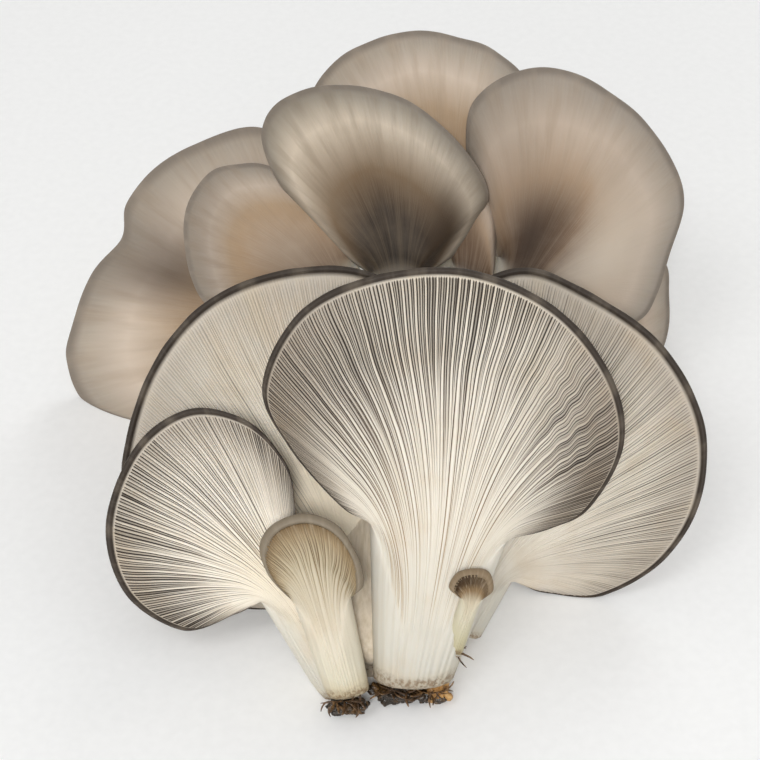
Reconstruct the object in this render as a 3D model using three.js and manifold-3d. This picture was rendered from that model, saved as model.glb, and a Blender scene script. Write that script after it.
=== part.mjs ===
// A cluster of oyster mushrooms (Pleurotus ostreatus), cut from its block and laid down.
// Millimetres, +Z up, the cluster lying on z = 0, its gill side towards -Y and its length towards +Y.
//
// Every mushroom is one body: a stem that opens on one side into a fan-shaped cap. It is drawn in a frame
// of its own, with X across the cap, Y from the stem towards the margin and +Z out of the gill side.
import * as THREE from 'three';
import { mergeVertices } from 'three/addons/utils/BufferGeometryUtils.js';
import Module from 'manifold-3d';

const wasm = await Module();
wasm.setup();

// ---- driving dimensions, millimetres
const GAP = 0.3;              // left between two pieces that touch
const RIM = 1.2;              // half the thickness of a grown cap at its margin
const FLESH = 0.6;            // cap thickness beside the neck, as a share of the neck's
const TURN = 2.2;             // how far the stem's lines bend into the cap, in neck half-widths
const CAP_STARTS = 0.35;      // share of the way from foot to margin where the bend into the cap begins
const BEND_ENDS = 0.6;        // and where it ends
const ROUND_UNTIL = 0.25;     // up to here the section is the stem's ellipse
const FLAT_FROM = 0.75;       // from here on it is the cap's flat one, with rounded sides
const SIDE_ROUNDING = 4;      // how much squarer those sides are than an ellipse
const DISH_SKEW = 1.15;       // moves the deepest part of the dish a little towards the margin
const WELD = 1e-3;            // vertices nearer than this are one
const ACROSS_STEPS = 12;      // steps of the mesh from one side of a mushroom to the other
const ALONG_STEPS = 10;       // and from its foot to its margin
const MARGIN_STEPS = 400;     // steps in which the margin's length is measured
const GROUND = 600;           // size of the block that stands for the surface below

const GILL_SIDE = 1;
const TOP_SIDE = -1;

const SKIN = {
  pale: { color: 0xe0d8c8, roughness: 0.6, metalness: 0 },
  young: { color: 0xe6deca, roughness: 0.6, metalness: 0 },
  grey: { color: 0xbdb2a2, roughness: 0.65, metalness: 0 },
  olive: { color: 0x8f8574, roughness: 0.65, metalness: 0 },
  tan: { color: 0xb39f86, roughness: 0.65, metalness: 0 },
  base: { color: 0xd9cfb8, roughness: 0.75, metalness: 0 },
  bark: { color: 0x2e2519, roughness: 0.5, metalness: 0 },
  grain: { color: 0xa87c42, roughness: 0.45, metalness: 0 },
};

// The mushrooms, from the front of the cluster to the back. Each one gives way to those before it.
// margin: the cap's edge from one side of the neck to the other. foot: the middle of the stem's end.
// stem: half the width and half the thickness of the stem there. neck: half the thickness where the stem
// meets the cap. dish: how deep the cap is hollowed on its gill side. rotation: lean, turn and roll, degrees.
const MUSHROOMS = [
  {
    name: 'main_fan', skin: 'pale', position: [11, 36, 40], rotation: [50, 0, 0],
    foot: [-7, -45, 3], stem: [12, 9.5], neck: 9, dish: 8,
    margin: [[-20, 1, 1], [-29, 6, -3], [-44, 23, -5], [-52, 41, -6], [-41, 63, -5], [-19, 74, -7],
      [9, 76, -6], [35, 65, -5], [52, 45, -7], [56, 24, -5], [46, 5, -5], [34, -1, -2], [21, -4, 1]],
  },
  {
    name: 'young_fan', skin: 'young', position: [-24, 17, 31], rotation: [46, -4, 10], rim: 2.4,
    foot: [3, -30, -4], stem: [6.5, 6.5], neck: 7, dish: 2,
    margin: [[-8, -1, -1], [-13, 7, -1], [-14, 15, -1], [-9, 21, -2], [0, 22, -2], [8, 17, -2], [12, 8, -1],
      [12, 0, -1], [9, -3, -1]],
  },
  {
    name: 'left_small_fan', skin: 'pale', position: [-36, 28, 25], rotation: [50, 4, 42],
    foot: [-9, -36, 1], stem: [6.5, 6], neck: 6, dish: 6,
    margin: [[-9, -1, -1], [-17, 1, -3], [-32, 8, -4], [-37, 28, -3], [-27, 47, -2], [-6, 58, -4],
      [13, 56, -4], [24, 42, -2], [24, 24, -3], [16, 11, -2], [8, 1, -1]],
  },
  {
    name: 'pin_mushroom', skin: 'young', position: [21, 15, 33], rotation: [46, 10, -14], rim: 1.8,
    foot: [0, -18, -8], stem: [3.2, 3], neck: 3, dish: 1,
    margin: [[-3, -2, 0], [-6, 0, 0], [-5, 4, 0], [-1, 6, 0], [3, 6, 0], [5, 2, 0], [3, -1, 0]],
  },
  {
    name: 'right_fan', skin: 'pale', position: [34, 51, 16], rotation: [56, -10, -32],
    foot: [1, -25, 17], stem: [7.5, 6.5], neck: 8, dish: 8,
    margin: [[-9, 0, -4], [-30, 15, -6], [-49, 36, -6], [-54, 56, -5], [-43, 74, -7], [-23, 79, -6],
      [5, 78, -5], [29, 65, -7], [42, 44, -6], [43, 21, -5], [33, 0, -7], [19, -8, -6], [8, -10, -4]],
  },
  {
    name: 'left_fan', skin: 'pale', position: [-19, 43, 17], rotation: [50, 6, 30],
    foot: [-4, -30, 11], stem: [8, 7], neck: 7.5, dish: 8,
    margin: [[-11, -8, -2], [-24, -4, -4], [-37, 6, -5], [-48, 28, -3], [-47, 49, -4], [-37, 65, -6],
      [-18, 81, -4], [5, 89, -3], [29, 86, -5], [51, 74, -4], [60, 55, -4], [50, 28, -4], [28, 9, -3],
      [11, 0, -2]],
  },
  {
    name: 'back_centre_cap', skin: 'olive', position: [0, 121, 68], rotation: [44, 180, -5],
    foot: [5, -63, 6], stem: [8, 7.5], neck: 8.5, dish: 13,
    margin: [[-9, 0, 0], [-18, 5, 1], [-27, 16, 2], [-31, 25, 1], [-24, 40, 2], [-8, 57, 4], [14, 64, 3],
      [32, 61, 3], [40, 51, 4], [37, 36, 2], [29, 23, 1], [18, 9, 0], [9, 1, 0]],
  },
  {
    name: 'back_right_cap', skin: 'tan', position: [41, 131, 62], rotation: [46, 188, 30],
    foot: [-3, -74, 1], stem: [8, 7.5], neck: 8.5, dish: 15,
    margin: [[-12, -5, 3], [-33, -4, 6], [-43, 7, 5], [-44, 18, 6], [-41, 31, 5], [-37, 48, 4], [-27, 59, 6],
      [-8, 67, 6], [17, 67, 5], [33, 58, 5], [41, 42, 4], [37, 29, 5], [27, 16, 5], [17, 6, 4], [9, 0, 3]],
  },
  {
    name: 'back_small_cap', skin: 'grey', position: [-24, 124, 62], rotation: [48, 170, -42],
    foot: [24, -58, -3], stem: [6, 6], neck: 7, dish: 9,
    margin: [[-14, 0, 1], [-19, 13, 1], [-16, 29, 2], [-12, 41, 3], [-6, 48, 3], [4, 54, 4], [17, 51, 3],
      [27, 41, 3], [34, 25, 3], [29, 9, 2], [16, 0, 1], [8, -2, 1]],
  },
  {
    name: 'back_left_cap', skin: 'grey', position: [-27, 136, 40], rotation: [58, 168, -58],
    foot: [29, -47, -23], stem: [8, 7.5], neck: 9, dish: 13,
    margin: [[-10, -3, 2], [-27, 6, 3], [-41, 24, 4], [-41, 50, 3], [-23, 67, 4], [-9, 74, 2], [7, 77, 5],
      [19, 73, 7], [35, 75, 3], [56, 71, 2], [67, 67, 4], [75, 55, 3], [78, 34, 4], [68, 10, 3], [46, -2, 4],
      [24, -3, 3], [8, -4, 2]],
  },
  {
    name: 'back_top_cap', skin: 'grey', position: [14, 151, 60], rotation: [40, 180, 0],
    foot: [12, -78, -11], stem: [8, 7.5], neck: 8.5, dish: 12,
    margin: [[-11, 0, 2], [-26, 9, 4], [-34, 30, 5], [-32, 53, 4], [-20, 66, 3], [-6, 72, 5], [7, 74, 5],
      [22, 70, 3], [36, 62, 4], [44, 48, 5], [41, 27, 4], [27, 9, 3], [10, 0, 2]],
  },
  {
    name: 'back_sliver_cap', skin: 'tan', position: [22, 125, 65], rotation: [44, 174, 12],
    foot: [5, -65, 1], stem: [7, 5.5], neck: 6, dish: 3,
    margin: [[-9, -1, 1], [-8, 9, 1], [-5, 22, 1], [2, 32, 2], [10, 30, 2], [12, 18, 1], [5, 3, 1]],
  },
  {
    name: 'back_low_cap', skin: 'grey', position: [40, 130, 21], rotation: [62, 190, 62],
    foot: [-5, -50, -36], stem: [8, 7.5], neck: 8.5, dish: 10,
    margin: [[-11, 1, 2], [-29, 11, 3], [-33, 32, 4], [-21, 51, 3], [-6, 60, 4], [5, 63, 3], [19, 55, 4],
      [26, 40, 3], [21, 20, 3], [11, 3, 2]],
  },
];

// The fused foot of the whole cluster, and what is left of the block it grew on.
// radii: half sizes. knobs: how many bumps go round it. relief: their height as a share of the radius.
const LUMPS = [
  {
    name: 'fused_base', skin: 'base', position: [-1, 50, 5],
    radii: [23, 44, 24], knobs: 3, relief: 0.1, detail: 3,
  },
  {
    name: 'wet_bark', skin: 'bark', position: [-1, 3, 3.4],
    radii: [6, 4, 4.4], knobs: 4, relief: 0.22, detail: 2,
  },
  {
    name: 'bark_flake', skin: 'bark', position: [7, 4.5, 5.5],
    radii: [5, 2.4, 1.8], knobs: 3, relief: 0.2, detail: 2,
  },
  {
    name: 'spawn_grain', skin: 'grain', position: [11, 3, 3.2],
    radii: [3.6, 3.2, 4], knobs: 5, relief: 0.2, detail: 2,
  },
  {
    name: 'young_crumb', skin: 'bark', position: [-16, -2, 2],
    radii: [5, 2.5, 2.4], knobs: 5, relief: 0.25, detail: 2,
  },
];

const mix = THREE.MathUtils.lerp;
const limit = THREE.MathUtils.clamp;
const ease = (value, from, to) => THREE.MathUtils.smoothstep(value, from, to);
const vector = (list) => new THREE.Vector3(...list);

// The line that one gill would follow, from the foot over the neck to the margin.
// share runs -1..1 from one side of the mushroom to the other.
function growthLine(kind, margin, share) {
  const [stemHalfWidth] = kind.stem;
  const end = margin.getPointAt((share + 1) / 2);
  const earA = margin.getPointAt(0);
  const earB = margin.getPointAt(1);
  const neck = earA.clone().lerp(earB, (share + 1) / 2);
  const foot = vector(kind.foot);
  foot.x += stemHalfWidth * share;
  const bend = TURN * earA.distanceTo(earB) / 2 * (1 - Math.abs(share));
  const down = foot.clone().sub(neck);
  const out = end.clone().sub(neck);
  const bendStart = neck.clone().add(down.clone().setLength(Math.min(bend, 0.6 * down.length())));
  const bendEnd = neck.clone().add(out.clone().setLength(Math.min(bend, 0.4 * out.length())));
  return { foot, bendStart, neck, bendEnd, end };
}

// The point of that line at along, 0 at the foot and 1 at the margin.
function pointOnLine(line, along) {
  if (along <= CAP_STARTS) return line.foot.clone().lerp(line.bendStart, along / CAP_STARTS);
  if (along >= BEND_ENDS) return line.bendEnd.clone().lerp(line.end, (along - BEND_ENDS) / (1 - BEND_ENDS));
  const turn = new THREE.QuadraticBezierCurve3(line.bendStart, line.neck, line.bendEnd);
  return turn.getPoint((along - CAP_STARTS) / (BEND_ENDS - CAP_STARTS));
}

// A point of the gill side or the top side.
function skinPoint(kind, line, share, along, side) {
  const point = pointOnLine(line, along);
  const rim = kind.rim ?? RIM;
  const capShare = limit((along - CAP_STARTS) / (1 - CAP_STARTS), 0, 1);
  const isCap = ease(along, ROUND_UNTIL, FLAT_FROM);
  const stemThickness = mix(kind.stem[1], kind.neck, ease(along, 0, BEND_ENDS));
  const capThickness = mix(kind.neck * FLESH, rim, capShare);
  const roundness = Math.max(0, 1 - share ** 2) ** (0.5 / (1 + SIDE_ROUNDING * isCap));
  point.z -= kind.dish * (1 - share ** 4) * Math.sin(Math.PI * capShare ** DISH_SKEW);
  point.z += side * mix(stemThickness, capThickness, isCap) * roundness;
  return point;
}

// The closed surface of one mushroom: gill side, top side, the rounded margin between them and the foot.
function mushroomGeometry(kind) {
  const margin = new THREE.CatmullRomCurve3(kind.margin.map(vector), false, 'catmullrom', 0.5);
  margin.arcLengthDivisions = MARGIN_STEPS;
  const vertices = [];
  const triangles = [];
  const put = (point) => vertices.push(point.x, point.y, point.z) / 3 - 1;
  const quad = (a, b, c, d) => triangles.push(a, b, c, a, c, d);
  const columns = [];
  for (let i = 0; i <= ACROSS_STEPS; i += 1) {
    const share = Math.sin((2 * i / ACROSS_STEPS - 1) * Math.PI / 2);
    const line = growthLine(kind, margin, share);
    const gills = [];
    const top = [];
    for (let j = 0; j <= ALONG_STEPS; j += 1) {
      const along = j / ALONG_STEPS;
      gills.push(put(skinPoint(kind, line, share, along, GILL_SIDE)));
      top.push(put(skinPoint(kind, line, share, along, TOP_SIDE)));
    }
    const outward = line.end.clone().sub(line.bendEnd);
    if (outward.length() > GAP) outward.setLength(kind.rim ?? RIM);
    columns.push({ gills, top, rim: put(line.end.clone().add(outward)) });
  }
  const footMiddle = put(vector(kind.foot));
  for (let i = 0; i < ACROSS_STEPS; i += 1) {
    const here = columns[i];
    const next = columns[i + 1];
    for (let j = 0; j < ALONG_STEPS; j += 1) {
      quad(here.gills[j], next.gills[j], next.gills[j + 1], here.gills[j + 1]);
      quad(here.top[j + 1], next.top[j + 1], next.top[j], here.top[j]);
    }
    quad(here.gills[ALONG_STEPS], next.gills[ALONG_STEPS], next.rim, here.rim);
    quad(here.rim, next.rim, next.top[ALONG_STEPS], here.top[ALONG_STEPS]);
    triangles.push(footMiddle, next.gills[0], here.gills[0]);
    triangles.push(footMiddle, here.top[0], next.top[0]);
  }
  return closedGeometry(vertices, triangles);
}

// A knobbly lump: a sphere pushed in and out in waves and stretched to its radii.
function lumpGeometry(kind) {
  const ball = bare(new THREE.IcosahedronGeometry(1, kind.detail));
  const points = ball.getAttribute('position');
  const point = new THREE.Vector3();
  for (let i = 0; i < points.count; i += 1) {
    point.fromBufferAttribute(points, i);
    const waves = Math.sin(kind.knobs * point.x + 1) * Math.sin(kind.knobs * point.y + 2)
      + 0.6 * Math.sin(2 * kind.knobs * point.z + point.x * kind.knobs);
    point.multiplyScalar(1 + kind.relief * waves).multiply(vector(kind.radii));
    points.setXYZ(i, point.x, point.y, point.z);
  }
  return ball;
}

// A geometry with its positions only, and each vertex once.
function bare(geometry) {
  geometry.deleteAttribute('normal');
  geometry.deleteAttribute('uv');
  return mergeVertices(geometry, WELD);
}

// Welds equal vertices and drops the triangles that the weld closed up.
function closedGeometry(vertices, triangles) {
  const loose = new THREE.BufferGeometry();
  loose.setAttribute('position', new THREE.Float32BufferAttribute(vertices, 3));
  loose.setIndex(triangles);
  const welded = mergeVertices(loose, WELD);
  const kept = [];
  const index = welded.getIndex().array;
  for (let i = 0; i < index.length; i += 3) {
    const [a, b, c] = index.slice(i, i + 3);
    if (a !== b && b !== c && c !== a) kept.push(a, b, c);
  }
  welded.setIndex(kept);
  return welded;
}

function solidOf(geometry) {
  return new wasm.Manifold(new wasm.Mesh({
    numProp: 3,
    vertProperties: new Float32Array(geometry.getAttribute('position').array),
    triVerts: new Uint32Array(geometry.getIndex().array),
  }));
}

function geometryOf(solid) {
  const { vertProperties, triVerts } = solid.getMesh();
  const geometry = new THREE.BufferGeometry();
  geometry.setAttribute('position', new THREE.BufferAttribute(vertProperties, 3));
  geometry.setIndex(new THREE.BufferAttribute(triVerts, 1));
  return geometry;
}

// The same body swollen by the gap that its neighbours keep from it.
function grown(geometry) {
  const copy = geometry.clone();
  copy.computeVertexNormals();
  const points = copy.getAttribute('position');
  const normals = copy.getAttribute('normal');
  for (let i = 0; i < points.count; i += 1) {
    points.setXYZ(i, points.getX(i) + GAP * normals.getX(i), points.getY(i) + GAP * normals.getY(i),
      points.getZ(i) + GAP * normals.getZ(i));
  }
  return copy;
}

// The surface below, which flattens whatever rests on it.
function ground() {
  const block = new THREE.BoxGeometry(GROUND, GROUND, GROUND);
  block.translate(0, 0, -GROUND / 2);
  return solidOf(bare(block));
}

function largestPiece(solid) {
  return solid.decompose().reduce((best, piece) => (piece.volume() > best.volume() ? piece : best));
}

const cluster = new THREE.Group();
const earlier = [];
const floor = ground();

// Places one piece, cuts away the floor and the pieces already there, and adds it to the cluster.
function addPiece(kind, geometry) {
  const mesh = new THREE.Mesh(geometry, new THREE.MeshStandardMaterial(SKIN[kind.skin]));
  mesh.name = kind.name;
  mesh.position.fromArray(kind.position);
  mesh.rotation.set(...(kind.rotation ?? [0, 0, 0]).map(THREE.MathUtils.degToRad));
  mesh.updateMatrix();
  const whole = geometry.clone().applyMatrix4(mesh.matrix);
  let solid = solidOf(whole).subtract(floor);
  for (const neighbour of earlier) {
    solid = solid.subtract(neighbour);
  }
  mesh.geometry = geometryOf(largestPiece(solid)).applyMatrix4(mesh.matrix.clone().invert());
  earlier.push(solidOf(grown(whole)).add(solidOf(whole)));
  cluster.add(mesh);
}

for (const kind of MUSHROOMS) {
  addPiece(kind, mushroomGeometry(kind));
}
for (const kind of LUMPS) {
  addPiece(kind, lumpGeometry(kind));
}

// The origin is the middle of the cluster's footprint, on the surface it lies on. The box is taken from the
// vertices themselves, since the boxes of leaning pieces are larger than the pieces.
const BY_VERTEX = true;
cluster.updateMatrixWorld(true);
const middle = new THREE.Box3().setFromObject(cluster, BY_VERTEX).getCenter(new THREE.Vector3());
cluster.position.set(-middle.x, -middle.y, 0);
cluster.updateMatrixWorld(true);

export default cluster;
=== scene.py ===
"""An oyster mushroom cluster lying on a pale floor: gilled fans in front, grey-brown caps behind.

Each mushroom is one closed mesh, drawn in its own frame: X across the cap, Y from the stem towards the
margin, +Z out of the gill side. Lengths in the drawing are millimetres; Blender's are metres.
"""

import math

import bmesh
import bpy
import numpy as np
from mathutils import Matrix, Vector


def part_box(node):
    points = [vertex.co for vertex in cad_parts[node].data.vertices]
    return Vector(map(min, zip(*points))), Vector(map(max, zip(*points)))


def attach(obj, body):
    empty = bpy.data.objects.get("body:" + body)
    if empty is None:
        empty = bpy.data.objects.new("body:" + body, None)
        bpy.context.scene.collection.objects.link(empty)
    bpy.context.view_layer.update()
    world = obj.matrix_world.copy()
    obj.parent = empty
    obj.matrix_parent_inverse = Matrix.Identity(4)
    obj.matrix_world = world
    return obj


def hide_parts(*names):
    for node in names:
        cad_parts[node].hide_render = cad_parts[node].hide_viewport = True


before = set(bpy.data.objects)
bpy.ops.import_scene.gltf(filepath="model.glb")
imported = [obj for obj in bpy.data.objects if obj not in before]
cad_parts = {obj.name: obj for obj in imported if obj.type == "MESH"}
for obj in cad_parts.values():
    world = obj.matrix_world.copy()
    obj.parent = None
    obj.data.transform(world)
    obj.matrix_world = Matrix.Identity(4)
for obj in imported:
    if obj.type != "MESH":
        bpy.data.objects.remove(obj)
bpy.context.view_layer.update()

MM = 0.001

# ---------------------------------------------------------------------------------------------
# The mushrooms' own dimensions, as the CAD part has them
# ---------------------------------------------------------------------------------------------
RIM = 1.2                 # half the thickness of a grown cap at its margin
FLESH = 0.6               # cap thickness beside the neck, as a share of the neck's
TURN = 2.2                # how far the stem's lines bend into the cap, in neck half-widths
CAP_STARTS, BEND_ENDS = 0.35, 0.6
ROUND_UNTIL, FLAT_FROM = 0.25, 0.75
SIDE_ROUNDING = 4
DISH_SKEW = 1.15
CAD_ACROSS, CAD_ALONG = 12, 10

MUSHROOMS = {
    "main_fan": dict(
        slot="pale_fan", position=(11, 36, 40), rotation=(50, 0, 0), foot=(-7, -45, 3), stem=(12, 9.5),
        neck=9, dish=8,
        margin=[(-20, 1, 1), (-29, 6, -3), (-44, 23, -5), (-52, 41, -6), (-41, 63, -5), (-19, 74, -7),
                (9, 76, -6), (35, 65, -5), (52, 45, -7), (56, 24, -5), (46, 5, -5), (34, -1, -2),
                (21, -4, 1)]),
    "young_fan": dict(
        slot="young_flesh", position=(-24, 17, 31), rotation=(46, -4, 10), foot=(3, -30, -4),
        stem=(6.5, 6.5), neck=7, dish=2, rim=2.4,
        margin=[(-8, -1, -1), (-13, 7, -1), (-14, 15, -1), (-9, 21, -2), (0, 22, -2), (8, 17, -2),
                (12, 8, -1), (12, 0, -1), (9, -3, -1)]),
    "left_small_fan": dict(
        slot="pale_fan", position=(-36, 28, 25), rotation=(50, 4, 42), foot=(-9, -36, 1), stem=(6.5, 6),
        neck=6, dish=6,
        margin=[(-9, -1, -1), (-17, 1, -3), (-32, 8, -4), (-37, 28, -3), (-27, 47, -2), (-6, 58, -4),
                (13, 56, -4), (24, 42, -2), (24, 24, -3), (16, 11, -2), (8, 1, -1)]),
    "pin_mushroom": dict(
        slot="young_flesh", position=(21, 15, 33), rotation=(46, 10, -14), foot=(0, -18, -8),
        stem=(3.2, 3), neck=3, dish=1, rim=1.8,
        margin=[(-3, -2, 0), (-6, 0, 0), (-5, 4, 0), (-1, 6, 0), (3, 6, 0), (5, 2, 0), (3, -1, 0)]),
    "right_fan": dict(
        slot="pale_fan", position=(34, 51, 16), rotation=(56, -10, -32), foot=(1, -25, 17),
        stem=(7.5, 6.5), neck=8, dish=8,
        margin=[(-9, 0, -4), (-30, 15, -6), (-49, 36, -6), (-54, 56, -5), (-43, 74, -7), (-23, 79, -6),
                (5, 78, -5), (29, 65, -7), (42, 44, -6), (43, 21, -5), (33, 0, -7), (19, -8, -6),
                (8, -10, -4)]),
    "left_fan": dict(
        slot="pale_fan", position=(-19, 43, 17), rotation=(50, 6, 30), foot=(-4, -30, 11), stem=(8, 7),
        neck=7.5, dish=8,
        margin=[(-11, -8, -2), (-24, -4, -4), (-37, 6, -5), (-48, 28, -3), (-47, 49, -4), (-37, 65, -6),
                (-18, 81, -4), (5, 89, -3), (29, 86, -5), (51, 74, -4), (60, 55, -4), (50, 28, -4),
                (28, 9, -3), (11, 0, -2)]),
    "back_centre_cap": dict(
        slot="olive_cap", position=(0, 121, 68), rotation=(44, 180, -5), foot=(5, -63, 6),
        stem=(8, 7.5), neck=8.5, dish=13,
        margin=[(-9, 0, 0), (-18, 5, 1), (-27, 16, 2), (-31, 25, 1), (-24, 40, 2), (-8, 57, 4),
                (14, 64, 3), (32, 61, 3), (40, 51, 4), (37, 36, 2), (29, 23, 1), (18, 9, 0),
                (9, 1, 0)]),
    "back_right_cap": dict(
        slot="tan_cap", position=(41, 131, 62), rotation=(46, 188, 30), foot=(-3, -74, 1),
        stem=(8, 7.5), neck=8.5, dish=15,
        margin=[(-12, -5, 3), (-33, -4, 6), (-43, 7, 5), (-44, 18, 6), (-41, 31, 5), (-37, 48, 4),
                (-27, 59, 6), (-8, 67, 6), (17, 67, 5), (33, 58, 5), (41, 42, 4), (37, 29, 5),
                (27, 16, 5), (17, 6, 4), (9, 0, 3)]),
    "back_small_cap": dict(
        slot="grey_cap", position=(-24, 124, 62), rotation=(48, 170, -42), foot=(24, -58, -3),
        stem=(6, 6), neck=7, dish=9,
        margin=[(-14, 0, 1), (-19, 13, 1), (-16, 29, 2), (-12, 41, 3), (-6, 48, 3), (4, 54, 4),
                (17, 51, 3), (27, 41, 3), (34, 25, 3), (29, 9, 2), (16, 0, 1), (8, -2, 1)]),
    "back_left_cap": dict(
        slot="grey_cap", position=(-27, 136, 40), rotation=(58, 168, -58), foot=(29, -47, -23),
        stem=(8, 7.5), neck=9, dish=13,
        margin=[(-10, -3, 2), (-27, 6, 3), (-41, 24, 4), (-41, 50, 3), (-23, 67, 4), (-9, 74, 2),
                (7, 77, 5), (19, 73, 7), (35, 75, 3), (56, 71, 2), (67, 67, 4), (75, 55, 3),
                (78, 34, 4), (68, 10, 3), (46, -2, 4), (24, -3, 3), (8, -4, 2)]),
    "back_top_cap": dict(
        slot="grey_cap", position=(14, 151, 60), rotation=(40, 180, 0), foot=(12, -78, -11),
        stem=(8, 7.5), neck=8.5, dish=12,
        margin=[(-11, 0, 2), (-26, 9, 4), (-34, 30, 5), (-32, 53, 4), (-20, 66, 3), (-6, 72, 5),
                (7, 74, 5), (22, 70, 3), (36, 62, 4), (44, 48, 5), (41, 27, 4), (27, 9, 3),
                (10, 0, 2)]),
    "back_sliver_cap": dict(
        slot="tan_cap", position=(22, 125, 65), rotation=(44, 174, 12), foot=(5, -65, 1), stem=(7, 5.5),
        neck=6, dish=3,
        margin=[(-9, -1, 1), (-8, 9, 1), (-5, 22, 1), (2, 32, 2), (10, 30, 2), (12, 18, 1), (5, 3, 1)]),
    "back_low_cap": dict(
        slot="grey_cap", position=(40, 130, 21), rotation=(62, 190, 62), foot=(-5, -50, -36),
        stem=(8, 7.5), neck=8.5, dish=10,
        margin=[(-11, 1, 2), (-29, 11, 3), (-33, 32, 4), (-21, 51, 3), (-6, 60, 4), (5, 63, 3),
                (19, 55, 4), (26, 40, 3), (21, 20, 3), (11, 3, 2)]),
}

# ---------------------------------------------------------------------------------------------
# Small numeric helpers
# ---------------------------------------------------------------------------------------------
def smooth(value, start, end):
    t = np.clip((value - start) / (end - start), 0, 1)
    return t * t * (3 - 2 * t)


def mix(a, b, share):
    return a + (b - a) * share


def rotation_matrix(lean, turn, roll):
    a, b, c = (math.radians(v) for v in (lean, turn, roll))
    about_x = np.array([[1, 0, 0], [0, math.cos(a), -math.sin(a)], [0, math.sin(a), math.cos(a)]])
    about_y = np.array([[math.cos(b), 0, math.sin(b)], [0, 1, 0], [-math.sin(b), 0, math.cos(b)]])
    about_z = np.array([[math.cos(c), -math.sin(c), 0], [math.sin(c), math.cos(c), 0], [0, 0, 1]])
    return about_x @ about_y @ about_z


def ripple(points, wavelength, seed, waves=7):
    """Smooth noise of about -1..1: waves of random directions, added up."""
    rng = np.random.default_rng(seed)
    total = 0.0
    for _ in range(waves):
        direction = rng.normal(size=points.shape[-1])
        direction /= np.linalg.norm(direction)
        frequency = 2 * math.pi / wavelength * rng.uniform(0.7, 1.5)
        total = total + np.sin(points @ direction * frequency + rng.uniform(0, 2 * math.pi))
    return total / math.sqrt(waves) * 0.8


# ---------------------------------------------------------------------------------------------
# The mushroom surface
# ---------------------------------------------------------------------------------------------
class Margin:
    """A Catmull-Rom curve through the margin's points, walked evenly along its length."""

    def __init__(self, points, steps=60):
        p = np.array(points, float)
        p = np.vstack([2 * p[0] - p[1], p, 2 * p[-1] - p[-2]])
        t = np.linspace(0, 1, steps, endpoint=False)[:, None]
        parts = []
        for a, b, c, d in zip(p, p[1:], p[2:], p[3:]):
            v0, v1 = (c - a) / 2, (d - b) / 2
            parts.append((2 * b - 2 * c + v0 + v1) * t**3 + (3 * c - 3 * b - 2 * v0 - v1) * t**2 + v0 * t + b)
        self.line = np.vstack(parts + [p[-2:-1]])
        step = np.linalg.norm(np.diff(self.line, axis=0), axis=1)
        self.length = step.sum()
        self.walked = np.concatenate([[0], np.cumsum(step)]) / self.length

    def at(self, share):
        fraction = (share + 1) / 2
        return np.stack([np.interp(fraction, self.walked, self.line[:, k]) for k in range(3)], -1)


def towards(start, end, distance):
    """The point that far from start on the way to end."""
    step = end - start
    length = np.linalg.norm(step, axis=-1, keepdims=True)
    return start + step / np.maximum(length, 1e-9) * distance


def middle_surface(kind, share, along):
    """Points halfway between the two sides, and the way out across the margin."""
    margin = kind["curve"]
    ear_a, ear_b = margin.at(np.array(-1.0)), margin.at(np.array(1.0))
    across = share[..., None]
    neck = mix(ear_a, ear_b, (across + 1) / 2)
    end = margin.at(share)
    foot = np.array(kind["foot"], float) + across * np.array([kind["stem"][0], 0, 0])
    reach = TURN * np.linalg.norm(ear_b - ear_a) / 2 * (1 - np.abs(across))
    down = np.linalg.norm(foot - neck, axis=-1, keepdims=True)
    out = np.linalg.norm(end - neck, axis=-1, keepdims=True)
    bend_start = towards(neck, foot, np.minimum(reach, 0.6 * down))
    bend_end = towards(neck, end, np.minimum(reach, 0.4 * out))
    t = along[..., None]
    stem = mix(foot, bend_start, np.clip(t / CAP_STARTS, 0, 1))
    u = np.clip((t - CAP_STARTS) / (BEND_ENDS - CAP_STARTS), 0, 1)
    bend = (1 - u) ** 2 * bend_start + 2 * u * (1 - u) * neck + u**2 * bend_end
    cap = mix(bend_end, end, np.clip((t - BEND_ENDS) / (1 - BEND_ENDS), 0, 1))
    point = np.where(t < CAP_STARTS, stem, np.where(t < BEND_ENDS, bend, cap))
    cap_share = np.clip((along - CAP_STARTS) / (1 - CAP_STARTS), 0, 1)
    point[..., 2] -= kind["dish"] * (1 - share**4) * np.sin(math.pi * cap_share**DISH_SKEW)
    outward = (end - bend_end) / np.maximum(np.linalg.norm(end - bend_end, axis=-1, keepdims=True), 1e-9)
    return point, outward


def half_thickness(kind, share, along):
    cap_share = np.clip((along - CAP_STARTS) / (1 - CAP_STARTS), 0, 1)
    is_cap = smooth(along, ROUND_UNTIL, FLAT_FROM)
    stem = mix(kind["stem"][1], kind["neck"], smooth(along, 0, BEND_ENDS))
    cap = mix(kind["neck"] * FLESH, kind.get("rim", RIM), cap_share)
    roundness = np.clip(1 - share**2, 0, 1) ** (0.5 / (1 + SIDE_ROUNDING * is_cap))
    return mix(stem, cap, is_cap) * roundness


def placed(kind, points):
    return points @ rotation_matrix(*kind["rotation"]).T + np.array(kind["position"], float)


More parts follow.
